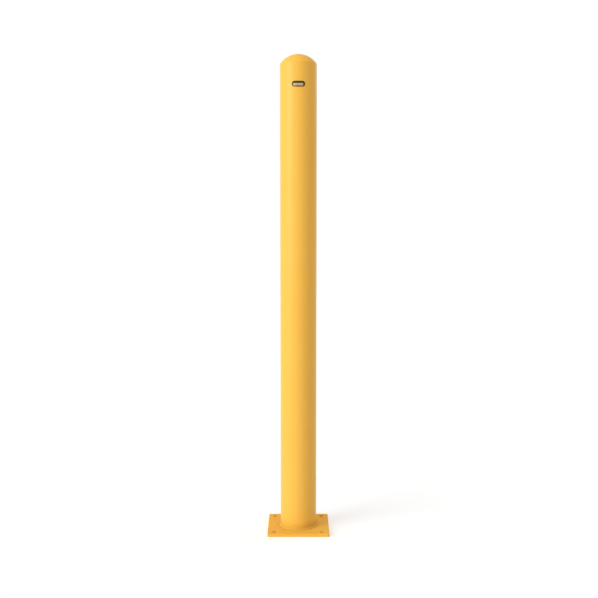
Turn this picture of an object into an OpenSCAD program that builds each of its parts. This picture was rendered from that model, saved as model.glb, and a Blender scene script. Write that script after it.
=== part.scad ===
// Floor-mounted steel bollard: a round tube with a pressed dome cap, welded to a square base
// plate with four anchor holes, and a small nameplate near the top. All sizes are millimetres.
// The origin is the middle of the plate's underside, +Z is up and the nameplate faces -Y.

/* [Post] */
// Height of the whole bollard, from the floor to the top of the dome
overall_h = 1000; // [600:10:1400]
// Outside diameter of the tube
tube_od = 76.3; // [65:0.1:110]
// Wall of the tube
tube_wall = 3.2; // [2.3:0.1:6]

/* [Cap] */
// Rise of the dome above the sharp rim that it would have with no seam weld
dome_rise = 20; // [12:0.5:30]
// Thickness of the pressed cap
cap_t = 3.2; // [2.3:0.1:5]
// Radius to which the seam weld is ground, tangent to the tube and to the dome
seam_r = 3; // [2:0.1:5]
// Width of the cap's edge that stands on the tube's wall, inside the weld groove
seam_land = 1.2; // [0.6:0.1:1.8]

/* [Base plate] */
// Width of the plate, along X
plate_w = 130; // [120:1:200]
// Depth of the plate, along Y
plate_d = 130; // [120:1:200]
// Thickness of the plate
plate_t = 6; // [4:0.5:16]
// Radius of the plate's four corners
plate_corner_r = 3; // [1.5:0.5:12]
// Chamfer round the plate's top edge
plate_chamfer = 0.8; // [0.3:0.1:1.2]

/* [Holes in the plate] */
// Diameter of the four anchor holes
anchor_d = 10; // [8:0.5:14]
// Distance between the anchor holes, along X
anchor_pitch_x = 100; // [92:1:108]
// Distance between the anchor holes, along Y
anchor_pitch_y = 100; // [92:1:108]
// Diameter of the vent and drain hole under the tube
vent_d = 30; // [10:1:55]

/* [Foot weld] */
// Leg of the fillet weld between the tube and the plate
foot_leg = 3.2; // [2.5:0.1:6]
// How far the weld's face bows out from the straight line between its toes
foot_bow = 0.35; // [0.1:0.05:0.8]

/* [Nameplate] */
// Width of the nameplate, across the tube
badge_w = 27; // [24:0.5:40]
// Height of the nameplate
badge_h = 11.5; // [9:0.5:30]
// Thickness of the nameplate
badge_t = 0.8; // [0.4:0.1:2]
// Radius of the nameplate's corners
badge_corner_r = 5; // [1:0.5:5]
// Distance from the top of the dome down to the middle of the nameplate
badge_drop = 65.5; // [50:0.5:300]
// Width of the plain raised bar on the nameplate
bar_w = 19.5; // [8:0.5:24]
// Height of the raised bar
bar_h = 5.2; // [2:0.1:7]
// How far the bar stands above the nameplate's field
bar_t = 0.3; // [0.1:0.1:1]
// How far the bar sits below the middle of the nameplate
bar_drop = 1.2; // [0:0.1:1.5]

/* [Hidden] */
$fn = 128;

paint_colour = "#f3bb53";
enamel_colour = "#2a2320";

tube_r = tube_od / 2;

// The dome is part of a sphere through its own top and the sharp rim.
dome_r = (tube_r * tube_r + dome_rise * dome_rise) / (2 * dome_rise);
dome_z = overall_h - dome_r;

// The ground seam is an arc that rolls inside both the tube's side and the sphere, and the tube
// is cut square at the height of the arc's middle.
seam_x = tube_r - seam_r;
seam_z = dome_z + sqrt(pow(dome_r - seam_r, 2) - pow(seam_x, 2));
seam_angle = atan2(seam_z - dome_z, seam_x);

// The cap stands on the tube's end from the inner edge that both of them have, outward to the
// root of the weld groove.
cap_inner_r = sqrt(pow(dome_r - cap_t, 2) - pow(seam_z - dome_z, 2));
seam_root = [max(tube_r - tube_wall, cap_inner_r) + seam_land, seam_z];
seam_toe = [dome_r * cos(seam_angle), dome_z + dome_r * sin(seam_angle)];

// The foot weld's face is an arc through its two toes, and its middle lies on the line at 45
// degrees through the corner between the tube and the plate.
foot_face_r = (pow(foot_leg, 2) / 2 + pow(foot_bow, 2)) / (2 * foot_bow);
foot_face_at = foot_leg / 2 - (foot_face_r - foot_bow) / sqrt(2);

// Room by which a cutting shape runs past what it cuts
over = 1;

module post_tube()
    color(paint_colour)
        translate([0, 0, plate_t])
            difference() {
                cylinder(h = seam_z - plate_t, r = tube_r);
                translate([0, 0, -over])
                    cylinder(h = seam_z - plate_t + 2 * over, r = tube_r - tube_wall);
            }

// The side of the weld groove that is filled with weld: everything outward from the groove's
// root, between the tube's square end and the bevel on the cap's edge.
module seam_groove() {
    bevel = seam_toe - seam_root;
    polygon([seam_root, seam_root + [tube_od, 0], seam_root + tube_od * bevel / norm(bevel)]);
}

module dome_cap()
    color(paint_colour)
        rotate_extrude()
            difference() {
                intersection() {
                    translate([0, dome_z])
                        difference() {
                            circle(dome_r);
                            circle(dome_r - cap_t);
                        }
                    translate([0, seam_z])
                        square([tube_od, dome_r]);
                }
                seam_groove();
            }

module cap_weld()
    color(paint_colour)
        rotate_extrude()
            intersection() {
                translate([seam_x, seam_z])
                    circle(seam_r);
                seam_groove();
            }

module base_weld()
    color(paint_colour)
        translate([0, 0, plate_t])
            rotate_extrude()
                translate([tube_r, 0])
                    intersection() {
                        translate([foot_face_at, foot_face_at])
                            circle(foot_face_r);
                        square(foot_leg + over);
                    }

// A flat bar with both long top edges chamfered, centred on the Z axis
module chamfered_bar(length, width, height, chamfer)
    rotate([90, 0, 90])
        linear_extrude(length, center = true)
            polygon([
                [-width / 2, 0], [width / 2, 0], [width / 2, height - chamfer],
                [width / 2 - chamfer, height], [chamfer - width / 2, height],
                [-width / 2, height - chamfer]
            ]);

// A flat slab with round corners and its top edge chamfered all round: two bars that cross, and
// a chamfered disc in each corner
module chamfered_slab(width, depth, height, corner_r, chamfer) {
    chamfered_bar(width - 2 * corner_r, depth, height, chamfer);
    rotate(90)
        chamfered_bar(depth - 2 * corner_r, width, height, chamfer);
    for (x = [-1, 1], y = [-1, 1])
        translate([x * (width / 2 - corner_r), y * (depth / 2 - corner_r)]) {
            cylinder(h = height - chamfer, r = corner_r);
            translate([0, 0, height - chamfer])
                cylinder(h = chamfer, r1 = corner_r, r2 = corner_r - chamfer);
        }
}

module base_plate()
    color(paint_colour)
        difference() {
            chamfered_slab(plate_w, plate_d, plate_t, plate_corner_r, plate_chamfer);
            for (x = [-1, 1], y = [-1, 1])
                translate([x * anchor_pitch_x / 2, y * anchor_pitch_y / 2, -over])
                    cylinder(h = plate_t + 2 * over, d = anchor_d);
            translate([0, 0, -over])
                cylinder(h = plate_t + 2 * over, d = vent_d);
        }

// A flat outline with round corners, centred
module rounded_panel(width, height, corner_r) {
    square([width - 2 * corner_r, height], center = true);
    square([width, height - 2 * corner_r], center = true);
    for (x = [-1, 1], y = [-1, 1])
        translate([x * (width / 2 - corner_r), y * (height / 2 - corner_r)])
            circle(corner_r);
}

// A skin on the front of the tube, trimmed to the outline that follows it
module on_tube(thickness)
    intersection() {
        difference() {
            cylinder(h = badge_h + 2 * over, r = tube_r + thickness, center = true);
            cylinder(h = badge_h + 4 * over, r = tube_r, center = true);
        }
        rotate([90, 0, 0])
            linear_extrude(tube_od)
                children();
    }

module nameplate()
    color(enamel_colour)
        translate([0, 0, overall_h - badge_drop]) {
            on_tube(badge_t)
                rounded_panel(badge_w, badge_h, badge_corner_r);
            on_tube(badge_t + bar_t)
                translate([0, -bar_drop])
                    rounded_panel(bar_w, bar_h, bar_h / 4);
        }

post_tube();
dome_cap();
cap_weld();
base_plate();
base_weld();
nameplate();
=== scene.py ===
# Yellow steel bollard: a round tube with a pressed dome cap, welded to a square base plate,
# with a small nameplate near the top of its front. Metres, floor at z = 0, front towards -Y.
import math

import bmesh
import bpy
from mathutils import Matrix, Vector, noise


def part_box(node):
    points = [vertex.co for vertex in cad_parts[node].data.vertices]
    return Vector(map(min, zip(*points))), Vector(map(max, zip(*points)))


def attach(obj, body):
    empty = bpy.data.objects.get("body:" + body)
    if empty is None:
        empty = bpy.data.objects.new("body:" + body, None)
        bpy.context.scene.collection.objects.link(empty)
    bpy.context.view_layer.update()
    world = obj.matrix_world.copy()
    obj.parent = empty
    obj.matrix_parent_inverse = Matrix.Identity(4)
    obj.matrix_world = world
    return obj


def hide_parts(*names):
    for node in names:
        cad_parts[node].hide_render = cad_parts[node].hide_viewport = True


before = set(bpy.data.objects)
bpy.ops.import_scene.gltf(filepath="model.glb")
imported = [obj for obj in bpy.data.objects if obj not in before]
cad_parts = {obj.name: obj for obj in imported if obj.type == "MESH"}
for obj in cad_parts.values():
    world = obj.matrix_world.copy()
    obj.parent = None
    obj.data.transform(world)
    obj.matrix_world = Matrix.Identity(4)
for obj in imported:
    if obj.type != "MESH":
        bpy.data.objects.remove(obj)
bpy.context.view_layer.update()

scene = bpy.context.scene
mm = 0.001

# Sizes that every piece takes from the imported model
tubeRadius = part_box("post_tube")[1].x
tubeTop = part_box("post_tube")[1].z
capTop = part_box("dome_cap")[1].z
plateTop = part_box("base_plate")[1].z
backAngle = math.pi / 2  # where the back of the post lies on a ring
crispFrom = math.radians(40)  # sharper edges than this stay crisp in smooth shading
print("frame loaded, tube radius", round(tubeRadius / mm, 2), "mm")


def linearFromHex(hexColour):
    channels = [int(hexColour[i : i + 2], 16) / 255 for i in (1, 3, 5)]
    linear = [c / 12.92 if c <= 0.04045 else ((c + 0.055) / 1.055) ** 2.4 for c in channels]
    return (*linear, 1.0)


def addNode(tree, kind, links=None, values=None, **settings):
    node = tree.nodes.new(kind)
    for name, value in settings.items():
        setattr(node, name, value)
    for name, value in (values or {}).items():
        node.inputs[name].default_value = value
    for name, source in (links or {}).items():
        tree.links.new(source, node.inputs[name])
    return node


def newMaterial(name):
    material = bpy.data.materials.new(name)
    material.use_nodes = True
    material.node_tree.nodes.clear()
    return material, material.node_tree


# Polyester powder coat, sprayed dry and melted in an oven: one even film of satin colour with
# soft edges, a faint orange peel and hardly any change of shade. Round the foot the coat colour
# is darkened towards the inside corner between tube and plate: painted shade.
powderCoat = {
    "colour": "#f4b94c",
    "thickColour": "#f2b344",  # where the film ran a little thicker
    # painted shade: the colour the coat is darkened to in the inside corner round the foot
    "paintedCornerShadeColour": "#dea945",
    "paintedCornerShadeReach": 20 * mm,  # up the tube, and half of it out along the plate
    "shadeSize": 90 * mm,
    "shadeRange": (0.35, 0.65),  # of the noise, from thin film to thick
    "shadeShare": 0.35,
    "glossSize": 35 * mm,
    "glossRange": (0.3, 0.7),  # of the noise, from smooth to dull
    "roughnessSpread": 0.06,
    "peelSize": 2.2 * mm,
    "peelHeight": 0.2 * mm,  # several times the real depth, so that it shows close up
}

# What lies under the film: the rolled tube is smooth, the cap is a little duller from the press
# and the grinding of its seam, the weld bead is duller again, and the hot-rolled plate is grainy
# and keeps the laser's drag lines on its cut walls.
smoothSteel = {"roughness": 0.34, "specular": 0.17}
pressedCap = {"roughness": 0.42, "specular": 0.06}
weldBead = {"roughness": 0.46, "specular": 0.08}
cutPlate = {
    "roughness": 0.56,
    "specular": 0.04,
    "linePitch": 0.7 * mm,
    "lineLength": 14 * mm,
    "lineDepth": 0.05 * mm,
    "wallSlope": (0.15, 0.45),  # upright share of the normal, from a cut wall to a face
}


def coatColour(tree, place):
    shade = addNode(
        tree,
        "ShaderNodeTexNoise",
        {"Vector": place},
        {"Scale": 1 / powderCoat["shadeSize"], "Detail": 3.0, "Roughness": 0.5},
    )
    thin, thick = powderCoat["shadeRange"]
    share = addNode(
        tree,
        "ShaderNodeMapRange",
        {"Value": shade.outputs["Fac"]},
        {"From Min": thin, "From Max": thick, "To Min": 0.0, "To Max": powderCoat["shadeShare"]},
    )
    film = addNode(
        tree,
        "ShaderNodeMix",
        {0: share.outputs["Result"]},
        {6: linearFromHex(powderCoat["colour"]), 7: linearFromHex(powderCoat["thickColour"])},
        data_type="RGBA",
    )
    # Distance from the corner between tube and plate: up the tube, or out along the plate
    spot = addNode(tree, "ShaderNodeSeparateXYZ", {"Vector": place})
    flat = addNode(
        tree,
        "ShaderNodeCombineXYZ",
        {"X": spot.outputs["X"], "Y": spot.outputs["Y"]},
    )
    fromAxis = addNode(
        tree,
        "ShaderNodeVectorMath",
        {0: flat.outputs["Vector"]},
        operation="LENGTH",
    )
    away = addNode(
        tree,
        "ShaderNodeMath",
        {0: fromAxis.outputs["Value"]},
        {1: 2.0, 2: plateTop - 2 * tubeRadius},
        operation="MULTIPLY_ADD",
    )
    farther = addNode(
        tree,
        "ShaderNodeMath",
        {0: away.outputs["Value"], 1: spot.outputs["Z"]},
        operation="MAXIMUM",
    )
    # Painted shade: 1 in the inside corner round the foot, fading to 0 over the reach
    paintedCornerShadeShare = addNode(
        tree,
        "ShaderNodeMapRange",
        {"Value": farther.outputs["Value"]},
        {
            "From Min": plateTop,
            "From Max": plateTop + powderCoat["paintedCornerShadeReach"],
            "To Min": 1.0,
            "To Max": 0.0,
        },
        interpolation_type="SMOOTHSTEP",
    )
    # Mixes the painted corner shade into the coat colour
    colour = addNode(
        tree,
        "ShaderNodeMix",
        {0: paintedCornerShadeShare.outputs["Result"], 6: film.outputs[2]},
        {7: linearFromHex(powderCoat["paintedCornerShadeColour"])},
        data_type="RGBA",
    )
    return colour.outputs[2]


def coatRoughness(tree, place, steel):
    gloss = addNode(
        tree,
        "ShaderNodeTexNoise",
        {"Vector": place},
        {"Scale": 1 / powderCoat["glossSize"], "Detail": 4.0, "Roughness": 0.55},
    )
    smooth, dull = powderCoat["glossRange"]
    roughness = addNode(
        tree,
        "ShaderNodeMapRange",
        {"Value": gloss.outputs["Fac"]},
        {
            "From Min": smooth,
            "From Max": dull,
            "To Min": steel["roughness"] - powderCoat["roughnessSpread"] / 2,
            "To Max": steel["roughness"] + powderCoat["roughnessSpread"] / 2,
        },
    )
    return roughness.outputs["Result"]


def orangePeel(tree, place):
    peel = addNode(
        tree,
        "ShaderNodeTexNoise",
        {"Vector": place},
        {"Scale": 1 / powderCoat["peelSize"], "Detail": 2.0, "Roughness": 0.45},
    )
    bump = addNode(
        tree,
        "ShaderNodeBump",
        {"Height": peel.outputs["Fac"]},
        {"Strength": 1.0, "Distance": powderCoat["peelHeight"]},
    )
    return bump.outputs["Normal"]


def cutLines(tree, place, normal):
    # The laser's upright drag lines, on the plate's walls only
    across, along = 1 / cutPlate["linePitch"], 1 / cutPlate["lineLength"]
    stretched = addNode(
        tree,
        "ShaderNodeMapping",
        {"Vector": place},
        {"Scale": (across, across, along)},
    )
    lines = addNode(
        tree,
        "ShaderNodeTexNoise",
        {"Vector": stretched.outputs["Vector"]},
        {"Scale": 1.0, "Detail": 2.0, "Roughness": 0.6},
    )
    facing = addNode(tree, "ShaderNodeNewGeometry")
    parts = addNode(tree, "ShaderNodeSeparateXYZ", {"Vector": facing.outputs["True Normal"]})
    upright = addNode(tree, "ShaderNodeMath", {0: parts.outputs["Z"]}, operation="ABSOLUTE")
    wall, face = cutPlate["wallSlope"]
    onWall = addNode(
        tree,
        "ShaderNodeMapRange",
        {"Value": upright.outputs["Value"]},
        {"From Min": wall, "From Max": face, "To Min": 1.0, "To Max": 0.0},
    )
    cut = addNode(
        tree,
        "ShaderNodeMath",
        {0: lines.outputs["Fac"], 1: onWall.outputs["Result"]},
        operation="MULTIPLY",
    )
    bump = addNode(
        tree,
        "ShaderNodeBump",
        {"Height": cut.outputs["Value"], "Normal": normal},
        {"Strength": 1.0, "Distance": cutPlate["lineDepth"]},
    )
    return bump.outputs["Normal"]


def powderCoatMaterial(name, steel):
    material, tree = newMaterial(name)
    place = addNode(tree, "ShaderNodeTexCoord").outputs["Object"]
    normal = orangePeel(tree, place)
    if steel is cutPlate:
        normal = cutLines(tree, place, normal)
    surface = addNode(
        tree,
        "ShaderNodeBsdfPrincipled",
        {
            "Base Color": coatColour(tree, place),
            "Roughness": coatRoughness(tree, place, steel),
            "Normal": normal,
        },
        {"IOR": 1.5, "Specular IOR Level": steel["specular"]},
    )
    addNode(tree, "ShaderNodeOutputMaterial", {"Surface": surface.outputs["BSDF"]})
    return material


coatOnTube = powderCoatMaterial("powderCoatOnTube", smoothSteel)
coatOnCap = powderCoatMaterial("powderCoatOnCap", pressedCap)
coatOnWeld = powderCoatMaterial("powderCoatOnWeld", weldBead)
coatOnPlate = powderCoatMaterial("powderCoatOnPlate", cutPlate)

# Stove enamel, fired on aluminium: a smooth, hard, nearly black film with a clear shine.
enamel = {
    "colour": "#33220e",
    "roughness": 0.28,
    "specular": 0.3,
    "peelSize": 1.1 * mm,
    "peelHeight": 0.003 * mm,
}


def enamelMaterial():
    material, tree = newMaterial("blackStoveEnamel")
    place = addNode(tree, "ShaderNodeTexCoord").outputs["Object"]
    waves = addNode(
        tree,
        "ShaderNodeTexNoise",
        {"Vector": place},
        {"Scale": 1 / enamel["peelSize"], "Detail": 1.0},
    )
    bump = addNode(
        tree,
        "ShaderNodeBump",
        {"Height": waves.outputs["Fac"]},
        {"Strength": 1.0, "Distance": enamel["peelHeight"]},
    )
    surface = addNode(
        tree,
        "ShaderNodeBsdfPrincipled",
        {"Normal": bump.outputs["Normal"]},
        {
            "Base Color": linearFromHex(enamel["colour"]),
            "Roughness": enamel["roughness"],
            "IOR": 1.5,
            "Specular IOR Level": enamel["specular"],
        },
    )
    addNode(tree, "ShaderNodeOutputMaterial", {"Surface": surface.outputs["BSDF"]})
    return material


# Bare aluminium, ground flat once the enamel is fired: fine lines along the bar and a dull
# metal shine.
bareMetal = {
    "colour": "#bdae88",
    "lineColour": "#a89c7b",  # in the grinding lines
    "lineRange": (0.35, 0.6),  # of the noise, from inside a line to between the lines
    "roughness": 0.34,
    "lineWidth": 0.24 * mm,  # several times the real width, so that it shows close up
    "lineLength": 12 * mm,
    "lineDepth": 0.04 * mm,
}


def bareMetalMaterial():
    material, tree = newMaterial("brushedAluminium")
    place = addNode(tree, "ShaderNodeTexCoord").outputs["Object"]
    along, across = 1 / bareMetal["lineLength"], 1 / bareMetal["lineWidth"]
    stretched = addNode(
        tree,
        "ShaderNodeMapping",
        {"Vector": place},
        {"Scale": (along, along, across)},
    )
    lines = addNode(
        tree,
        "ShaderNodeTexNoise",
        {"Vector": stretched.outputs["Vector"]},
        {"Scale": 1.0, "Detail": 2.0},
    )
    inside, between = bareMetal["lineRange"]
    inLine = addNode(
        tree,
        "ShaderNodeMapRange",
        {"Value": lines.outputs["Fac"]},
        {"From Min": inside, "From Max": between, "To Min": 1.0, "To Max": 0.0},
    )
    colour = addNode(
        tree,
        "ShaderNodeMix",
        {0: inLine.outputs["Result"]},
        {6: linearFromHex(bareMetal["colour"]), 7: linearFromHex(bareMetal["lineColour"])},
        data_type="RGBA",
    )
    bump = addNode(
        tree,
        "ShaderNodeBump",
        {"Height": lines.outputs["Fac"]},
        {"Strength": 1.0, "Distance": bareMetal["lineDepth"]},
    )
    surface = addNode(
        tree,
        "ShaderNodeBsdfPrincipled",
        {"Base Color": colour.outputs[2], "Normal": bump.outputs["Normal"]},
        {"Metallic": 1.0, "Roughness": bareMetal["roughness"]},
    )
    addNode(tree, "ShaderNodeOutputMaterial", {"Surface": surface.outputs["BSDF"]})
    return material


enamelOnPlate = enamelMaterial()
bareAluminium = bareMetalMaterial()
print("materials made")


def addPiece(name, mesh, materials, node, crisp=True):
    mesh.normal_update()
    data = bpy.data.meshes.new(name)
    mesh.to_mesh(data)
    mesh.free()
    piece = bpy.data.objects.new(name, data)
    scene.collection.objects.link(piece)
    for material in materials:
        data.materials.append(material)
    data.shade_smooth()
    if crisp:
        data.set_sharp_from_angle(angle=crispFrom)
    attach(piece, "root")
    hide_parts(node)


def onRing(radius, angle, height):
    return (radius * math.cos(angle), radius * math.sin(angle), height)


def joinSections(sections):
    # Closed cross-sections, joined one after the other all the way round
    mesh = bmesh.new()
    rings = [[mesh.verts.new(point) for point in section] for section in sections]
    for here, there in zip(rings, rings[1:] + rings[:1]):
        for i in range(len(here)):
            j = (i + 1) % len(here)
            mesh.faces.new((here[i], there[i], there[j], here[j]))
    bmesh.ops.recalc_face_normals(mesh, faces=mesh.faces)
    return mesh


def turnProfile(profile, steps):
    # A profile that starts and ends on the axis, turned round it
    mesh = bmesh.new()
    angles = [2 * math.pi * k / steps for k in range(steps)]
    rings = [
        [mesh.verts.new(onRing(radius, angle, height)) for angle in angles]
        for radius, height in profile[1:-1]
    ]
    for here, there in zip(rings, rings[1:]):
        for k in range(steps):
            j = (k + 1) % steps
            mesh.faces.new((here[k], here[j], there[j], there[k]))
    for end, ring in ((profile[0], rings[0]), (profile[-1], rings[-1])):
        pole = mesh.verts.new((0, 0, end[1]))
        for k in range(steps):
            mesh.faces.new((pole, ring[k], ring[(k + 1) % steps]))
    bmesh.ops.recalc_face_normals(mesh, faces=mesh.faces)
    return mesh


def unevenness(angle, waves, pattern):
    # Smooth noise from about -1 to 1 that closes on itself round the post
    about = Vector((math.cos(angle), math.sin(angle), 0.0))
    return noise.noise(about * waves + Vector((0, 0, pattern)))


# The tube: rolled from strip and welded lengthwise. The bead is planed off, which leaves a flat
# line down the back, and both ends are cut square.
tube = {
    "wall": 3.2 * mm,
    "steps": 360,
    "planedDepth": 0.07 * mm,
    "planedWidth": 4.6,  # degrees to either side
    "blendOut": 14 * mm,  # below the cap, where the grinding of the seam takes over
    "roundAgain": 2 * mm,  # below the cap
}


def makeTube():
    inner = tubeRadius - tube["wall"]
    sections = []
    for k in range(tube["steps"]):
        angle = 2 * math.pi * k / tube["steps"]
        fromBack = math.degrees(abs(angle - backAngle)) / tube["planedWidth"]
        planed = tube["planedDepth"] * max(0.0, 1 - fromBack**2)
        profile = [
            (tubeRadius - planed, plateTop),
            (tubeRadius - planed, tubeTop - tube["blendOut"]),
            (tubeRadius, tubeTop - tube["roundAgain"]),
            (tubeRadius, tubeTop),
            (inner, tubeTop),
            (inner, plateTop),
        ]
        sections.append([onRing(radius, angle, height) for radius, height in profile])
    addPiece("postTube", joinSections(sections), [coatOnTube], "post_tube")
    print("tube made")


# The cap: a disc pressed into a shallow dome. Its edge stands on the tube's end and is bevelled
# for the weld.
cap = {
    "rise": 20 * mm,  # above the sharp rim that it would have with no weld
    "thickness": 3.2 * mm,
    "steps": 256,
    "rings": 36,
}

# The seam weld between the cap and the tube, ground to an arc by hand: its face has shallow
# flats that only show in the gloss.
seam = {
    "radius": 3 * mm,
    "land": 1.2 * mm,  # width of the cap's edge that stands on the tube's end
    "arcPoints": 10,
    "steps": 384,
    "flatDepth": 0.07 * mm,
    "flatsRound": 5.5,
    "pattern": 16.5,  # any other number gives other flats
}

domeRadius = (tubeRadius**2 + cap["rise"] ** 2) / (2 * cap["rise"])
domeCentre = capTop - domeRadius
seamCentre = tubeRadius - seam["radius"]
seamSpan = math.atan2(tubeTop - domeCentre, seamCentre)  # from the tube's side to the dome
seamRoot = tubeRadius - tube["wall"] + seam["land"]


def makeCap():
    inner = domeRadius - cap["thickness"]
    toe = math.pi / 2 - seamSpan  # where the weld starts, from the top of the dome
    edge = math.acos((tubeTop - domeCentre) / inner)
    last = cap["rings"] - 1
    profile = []
    for i in range(cap["rings"]):
        turn = toe * i / last
        profile.append((domeRadius * math.sin(turn), domeCentre + domeRadius * math.cos(turn)))
    profile.append((seamRoot, tubeTop))
    for i in range(cap["rings"]):
        turn = edge * (1 - i / last)
        profile.append((inner * math.sin(turn), domeCentre + inner * math.cos(turn)))
    mesh = turnProfile(profile, cap["steps"])
    addPiece("domeCap", mesh, [coatOnCap], "dome_cap")
    print("cap made")


def makeSeam():
    last = seam["arcPoints"] - 1
    sections = []
    for k in range(seam["steps"]):
        angle = 2 * math.pi * k / seam["steps"]
        ground = seam["flatDepth"] * abs(unevenness(angle, seam["flatsRound"], seam["pattern"]))
        section = [onRing(seamRoot, angle, tubeTop)]
        for i in range(seam["arcPoints"]):
            share = i / last
            turn = seamSpan * share
            reach = seam["radius"] - ground * math.sin(math.pi * share)
            out, up = reach * math.cos(turn), reach * math.sin(turn)
            section.append(onRing(seamCentre + out, angle, tubeTop + up))
        sections.append(section)
    addPiece("capSeam", joinSections(sections), [coatOnCap], "cap_weld")
    print("cap seam made")


# The fillet weld round the foot, laid in one pass: a slightly bowed face with crescent ripples
# and a small overlap at the back, where the pass ends on its start.
footWeld = {
    "leg": 3.2 * mm,
    "bow": 0.35 * mm,
    "ripples": 136,
    "samples": 8,  # sections to a ripple
    "facePoints": 11,
    "rippleDepth": 0.22 * mm,
    "rippleRound": 0.03,  # rounds the sharp valleys between ripples
    "lag": 0.55,  # how far a ripple's ends trail its middle, in ripples
    "drift": 0.6,  # how far the pace of the ripples wanders, in ripples
    "driftWaves": 9.0,
    "driftPattern": 1,
    "wander": 0.18 * mm,  # how far both toes wander
    "wanderWaves": 4.0,
    "upPattern": 7,
    "outPattern": 19,
    "overlap": 0.35 * mm,
    "overlapWidth": 7.0,  # degrees
    "sunk": 0.09 * mm,  # into the tube and the plate
}


def makeFootWeld():
    steps = footWeld["ripples"] * footWeld["samples"]
    sunk = footWeld["sunk"]
    waves = footWeld["wanderWaves"]
    lastPoint = footWeld["facePoints"] - 1
    sections = []
    for k in range(steps):
        angle = 2 * math.pi * k / steps
        pace = unevenness(angle, footWeld["driftWaves"], footWeld["driftPattern"])
        upWander = footWeld["wander"] * unevenness(angle, waves, footWeld["upPattern"])
        outWander = footWeld["wander"] * unevenness(angle, waves, footWeld["outPattern"])
        fromBack = math.degrees(abs(angle - backAngle)) / footWeld["overlapWidth"]
        end = footWeld["overlap"] * math.exp(-(fromBack**2))
        section = [onRing(tubeRadius - sunk, angle, plateTop - sunk)]
        for i in range(footWeld["facePoints"]):
            share = i / lastPoint  # 0 at the toe on the plate, 1 on the tube
            middle = math.sin(math.pi * share)
            trail = footWeld["lag"] * (2 * share - 1) ** 2
            phase = math.pi * (k / footWeld["samples"] + footWeld["drift"] * pace + trail)
            ripple = math.sqrt(math.sin(phase) ** 2 + footWeld["rippleRound"]) - 1
            ridge = footWeld["rippleDepth"] * ripple * math.sqrt(middle)
            proud = (footWeld["bow"] * middle + ridge + end * middle) * math.sqrt(0.5)
            out = (footWeld["leg"] + outWander) * (1 - share) + proud
            up = (footWeld["leg"] + upWander) * share + proud
            if i == 0:
                up -= sunk
            if i == lastPoint:
                out -= sunk
            section.append(onRing(tubeRadius + out, angle, plateTop + up))
        sections.append(section)
    mesh = joinSections(sections)
    addPiece("footWeld", mesh, [coatOnWeld], "base_weld", crisp=False)
    print("foot weld made")


# The nameplate: blanked from thin aluminium, bent to the tube, enamelled, and its raised bar
# ground bright again.
nameplate = {
    "width": 27 * mm,
    "height": 11.5 * mm,
    "thickness": 0.8 * mm,
    "corner": 5 * mm,
    "edgeRound": 0.18 * mm,
    "bareRows": 3,  # rows of faces up the edge that the enamel leaves bare
    "drop": 65.5 * mm,  # from the top of the dome to the middle of the plate
    "barWidth": 19.5 * mm,
    "barHeight": 5.2 * mm,
    "barCorner": 1.3 * mm,
    "barThickness": 0.3 * mm,
    "barDrop": 1.2 * mm,  # from the middle of the plate to the middle of the bar
    "barRound": 0.1 * mm,
    "barFlatFrom": 0.25 * mm,  # in from the bar's edge
    "roundSteps": 4,
    "cornerPoints": 12,
    "longPoints": 30,
    "sunk": 0.03 * mm,  # into the tube
}


def roundedOutline(halfWidth, halfHeight, corner):
    # Corner by corner, with the same count of points for any size. Both short sides are upright,
    # so they need no points between their corners.
    points = []
    corners = [(1, 1, 0), (-1, 1, 90), (-1, -1, 180), (1, -1, 270)]
    for index, (sideX, sideZ, start) in enumerate(corners):
        centreX = sideX * (halfWidth - corner)
        centreZ = sideZ * (halfHeight - corner)
        for k in range(nameplate["cornerPoints"]):
            turn = math.radians(start + 90 * k / (nameplate["cornerPoints"] - 1))
            points.append((centreX + corner * math.cos(turn), centreZ + corner * math.sin(turn)))
        nextX, nextZ, nextStart = corners[(index + 1) % 4]
        turn = math.radians(nextStart)
        goalX = nextX * (halfWidth - corner) + corner * math.cos(turn)
        goalZ = nextZ * (halfHeight - corner) + corner * math.sin(turn)
        lastX, lastZ = points[-1]
        count = nameplate["longPoints"] if index % 2 == 0 else 1
        for k in range(1, count):
            share = k / count
            points.append((lastX + (goalX - lastX) * share, lastZ + (goalZ - lastZ) * share))
    return points


def roundedStep(halfWidth, halfHeight, corner, low, high, radius, drop):
    # Outlines up a wall and over its rounded edge: half sizes, corner, height, drop
    rows = [(halfWidth, halfHeight, corner, low, drop)]
    for k in range(nameplate["roundSteps"] + 1):
        turn = math.radians(90 * k / nameplate["roundSteps"])
        inset = radius * (1 - math.cos(turn))
        height = high - radius * (1 - math.sin(turn))
        rows.append((halfWidth - inset, halfHeight - inset, corner - inset, height, drop))
    return rows


def nameplateRows():
    halfWidth, halfHeight = nameplate["width"] / 2, nameplate["height"] / 2
    corner, edge = nameplate["corner"], nameplate["edgeRound"]
    under, field = -nameplate["sunk"], nameplate["thickness"]
    plateRows = roundedStep(halfWidth, halfHeight, corner, under, field, edge, 0.0)

    halfWidth, halfHeight = nameplate["barWidth"] / 2, nameplate["barHeight"] / 2
    corner, edge = nameplate["barCorner"], nameplate["barRound"]
    top, drop = field + nameplate["barThickness"], nameplate["barDrop"]
    flat = nameplate["barFlatFrom"]
    barRows = roundedStep(halfWidth, halfHeight, corner, field, top, edge, drop)
    barRows.append((halfWidth - flat, halfHeight - flat, corner - flat, top, drop))
    return plateRows, barRows


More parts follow.
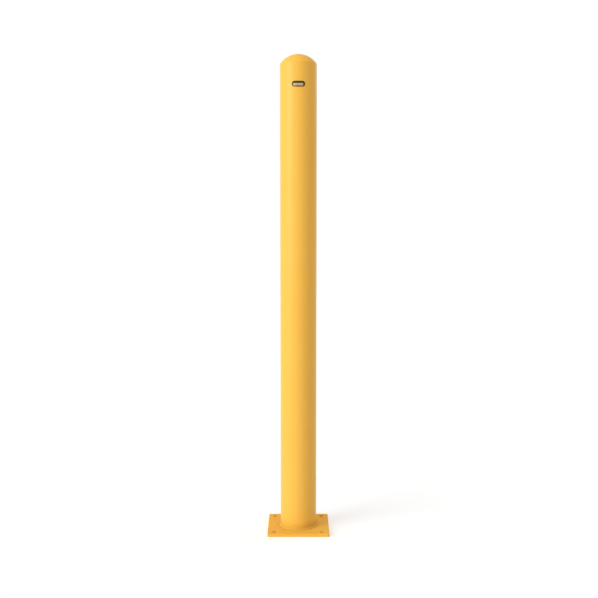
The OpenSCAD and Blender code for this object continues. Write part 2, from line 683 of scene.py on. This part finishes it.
def makeNameplate():
    plateRows, barRows = nameplateRows()
    centre = capTop - nameplate["drop"]
    mesh = bmesh.new()
    rings = []
    for width, height, radius, proud, drop in plateRows + barRows:
        ring = []
        for x, z in roundedOutline(width, height, radius):
            y = -math.sqrt((tubeRadius + proud) ** 2 - x * x)
            ring.append(mesh.verts.new((x, y, centre - drop + z)))
        rings.append(ring)
    for level, (here, there) in enumerate(zip(rings, rings[1:])):
        bare = level < nameplate["bareRows"] or level >= len(plateRows)
        for i in range(len(here)):
            j = (i + 1) % len(here)
            face = mesh.faces.new((here[i], here[j], there[j], there[i]))
            face.material_index = 1 if bare else 0
    for ring in (rings[0], rings[-1]):
        # The back and the bar's face, in upright strips that follow the bend of the tube
        last = len(ring) - 1
        for i in range(len(ring) // 2 - 1):
            face = mesh.faces.new((ring[i], ring[i + 1], ring[last - i - 1], ring[last - i]))
            face.material_index = 1
    bmesh.ops.recalc_face_normals(mesh, faces=mesh.faces)
    addPiece("namePlate", mesh, [enamelOnPlate, bareAluminium], "nameplate")
    print("nameplate made")


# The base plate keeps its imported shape, and the film of coat rounds its sharp edges.
plateFilm = {"joinWithin": 0.001 * mm, "radius": 0.3 * mm, "steps": 3, "fromAngle": 25}


def finishPlate():
    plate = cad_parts["base_plate"]
    plate.data.materials.clear()
    plate.data.materials.append(coatOnPlate)
    joined = plate.modifiers.new("joinSplitCorners", "WELD")
    joined.merge_threshold = plateFilm["joinWithin"]
    edges = plate.modifiers.new("coatOverEdges", "BEVEL")
    edges.width = plateFilm["radius"]
    edges.segments = plateFilm["steps"]
    edges.limit_method = "ANGLE"
    edges.angle_limit = math.radians(plateFilm["fromAngle"])
    edges.harden_normals = False
    normals = plate.modifiers.new("evenShading", "WEIGHTED_NORMAL")
    normals.weight = 100
    normals.keep_sharp = False
    print("base plate finished")


makeTube()
makeCap()
makeSeam()
makeFootWeld()
makeNameplate()
finishPlate()


# A plain white studio: a white floor, an even white surround, a wide soft key from the front
# left, a weak lamp from behind on the right and a weak one from above.
studio = {
    "floorSide": 12.0,
    "floorColour": "#e7e7e7",
    "floorLift": 0.32,  # only where the floor is seen directly, so that it meets the surround
    "surround": 0.6,  # strength of its light, and where it is seen directly it is 1
    "key": {"power": 2.36, "azimuth": -57, "height": 15, "angle": 40, "tint": (0.94, 1.0, 1.0)},
    "back": {"power": 0.3, "azimuth": 140, "height": 25, "angle": 30, "tint": (1.0, 0.99, 0.97)},
    "top": {"power": 0.25, "azimuth": 60, "height": 80, "angle": 70, "tint": (1.0, 1.0, 1.0)},
}


def seenDirectly(tree):
    # 1 for what the camera sees itself or in a reflection or through glass, and 0 for light
    ray = addNode(tree, "ShaderNodeLightPath")
    seen = addNode(
        tree,
        "ShaderNodeMath",
        {0: ray.outputs["Is Camera Ray"], 1: ray.outputs["Is Glossy Ray"]},
        operation="MAXIMUM",
    )
    either = addNode(
        tree,
        "ShaderNodeMath",
        {0: seen.outputs["Value"], 1: ray.outputs["Is Transmission Ray"]},
        operation="MAXIMUM",
    )
    return either.outputs["Value"]


def makeFloor():
    half = studio["floorSide"] / 2
    mesh = bmesh.new()
    corners = ((-half, -half, 0), (half, -half, 0), (half, half, 0), (-half, half, 0))
    mesh.faces.new([mesh.verts.new(corner) for corner in corners])
    data = bpy.data.meshes.new("studioFloor")
    mesh.to_mesh(data)
    mesh.free()
    floor = bpy.data.objects.new("studioFloor", data)
    scene.collection.objects.link(floor)
    material, tree = newMaterial("mattWhiteFloor")
    white = linearFromHex(studio["floorColour"])
    matt = addNode(tree, "ShaderNodeBsdfDiffuse", values={"Color": white})
    lift = addNode(
        tree,
        "ShaderNodeMath",
        {0: seenDirectly(tree)},
        {1: studio["floorLift"]},
        operation="MULTIPLY",
    )
    glow = addNode(tree, "ShaderNodeEmission", {"Strength": lift.outputs["Value"]})
    both = addNode(
        tree,
        "ShaderNodeAddShader",
        {0: matt.outputs["BSDF"], 1: glow.outputs["Emission"]},
    )
    addNode(tree, "ShaderNodeOutputMaterial", {"Surface": both.outputs["Shader"]})
    data.materials.append(material)


def makeSurround():
    world = bpy.data.worlds.new("whiteSurround")
    world.use_nodes = True
    tree = world.node_tree
    tree.nodes.clear()
    level = addNode(
        tree,
        "ShaderNodeMapRange",
        {"Value": seenDirectly(tree)},
        {"To Min": studio["surround"], "To Max": 1.0},
    )
    light = addNode(
        tree,
        "ShaderNodeBackground",
        {"Strength": level.outputs["Result"]},
        {"Color": (1, 1, 1, 1)},
    )
    addNode(tree, "ShaderNodeOutputWorld", {"Surface": light.outputs["Background"]})
    scene.world = world


def makeLamp(name, setting):
    # A far, wide lamp, so that the post is lit alike from top to bottom. Azimuth is from the
    # camera's side of the post, positive to the right.
    data = bpy.data.lights.new(name, "SUN")
    data.energy = setting["power"]
    data.angle = math.radians(setting["angle"])
    data.color = setting["tint"]
    lamp = bpy.data.objects.new(name, data)
    scene.collection.objects.link(lamp)
    side, up = math.radians(setting["azimuth"]), math.radians(setting["height"])
    towards = Vector(
        (math.sin(side) * math.cos(up), -math.cos(side) * math.cos(up), math.sin(up))
    )
    lamp.rotation_euler = towards.to_track_quat("Z", "Y").to_euler()


# The camera stands at the height of the post's upper half, as the photograph has it
view = {
    "lens": 52.34,  # mm
    "sensor": 36,  # mm wide
    "distance": 1.8312,
    "height": 0.6483,
    "tilt": 4.845,  # degrees down
    "aside": 1.2 * mm,
}


def makeCamera():
    data = bpy.data.cameras.new("camera")
    data.lens = view["lens"]
    data.sensor_width = view["sensor"]
    camera = bpy.data.objects.new("camera", data)
    camera.location = (view["aside"], -view["distance"], view["height"])
    camera.rotation_euler = (math.radians(90 - view["tilt"]), 0, 0)
    scene.collection.objects.link(camera)
    scene.camera = camera


makeFloor()
makeSurround()
makeLamp("keyLamp", studio["key"])
makeLamp("backLamp", studio["back"])
makeLamp("topLamp", studio["top"])
makeCamera()
scene.view_settings.view_transform = "Standard"
print("studio and camera made")
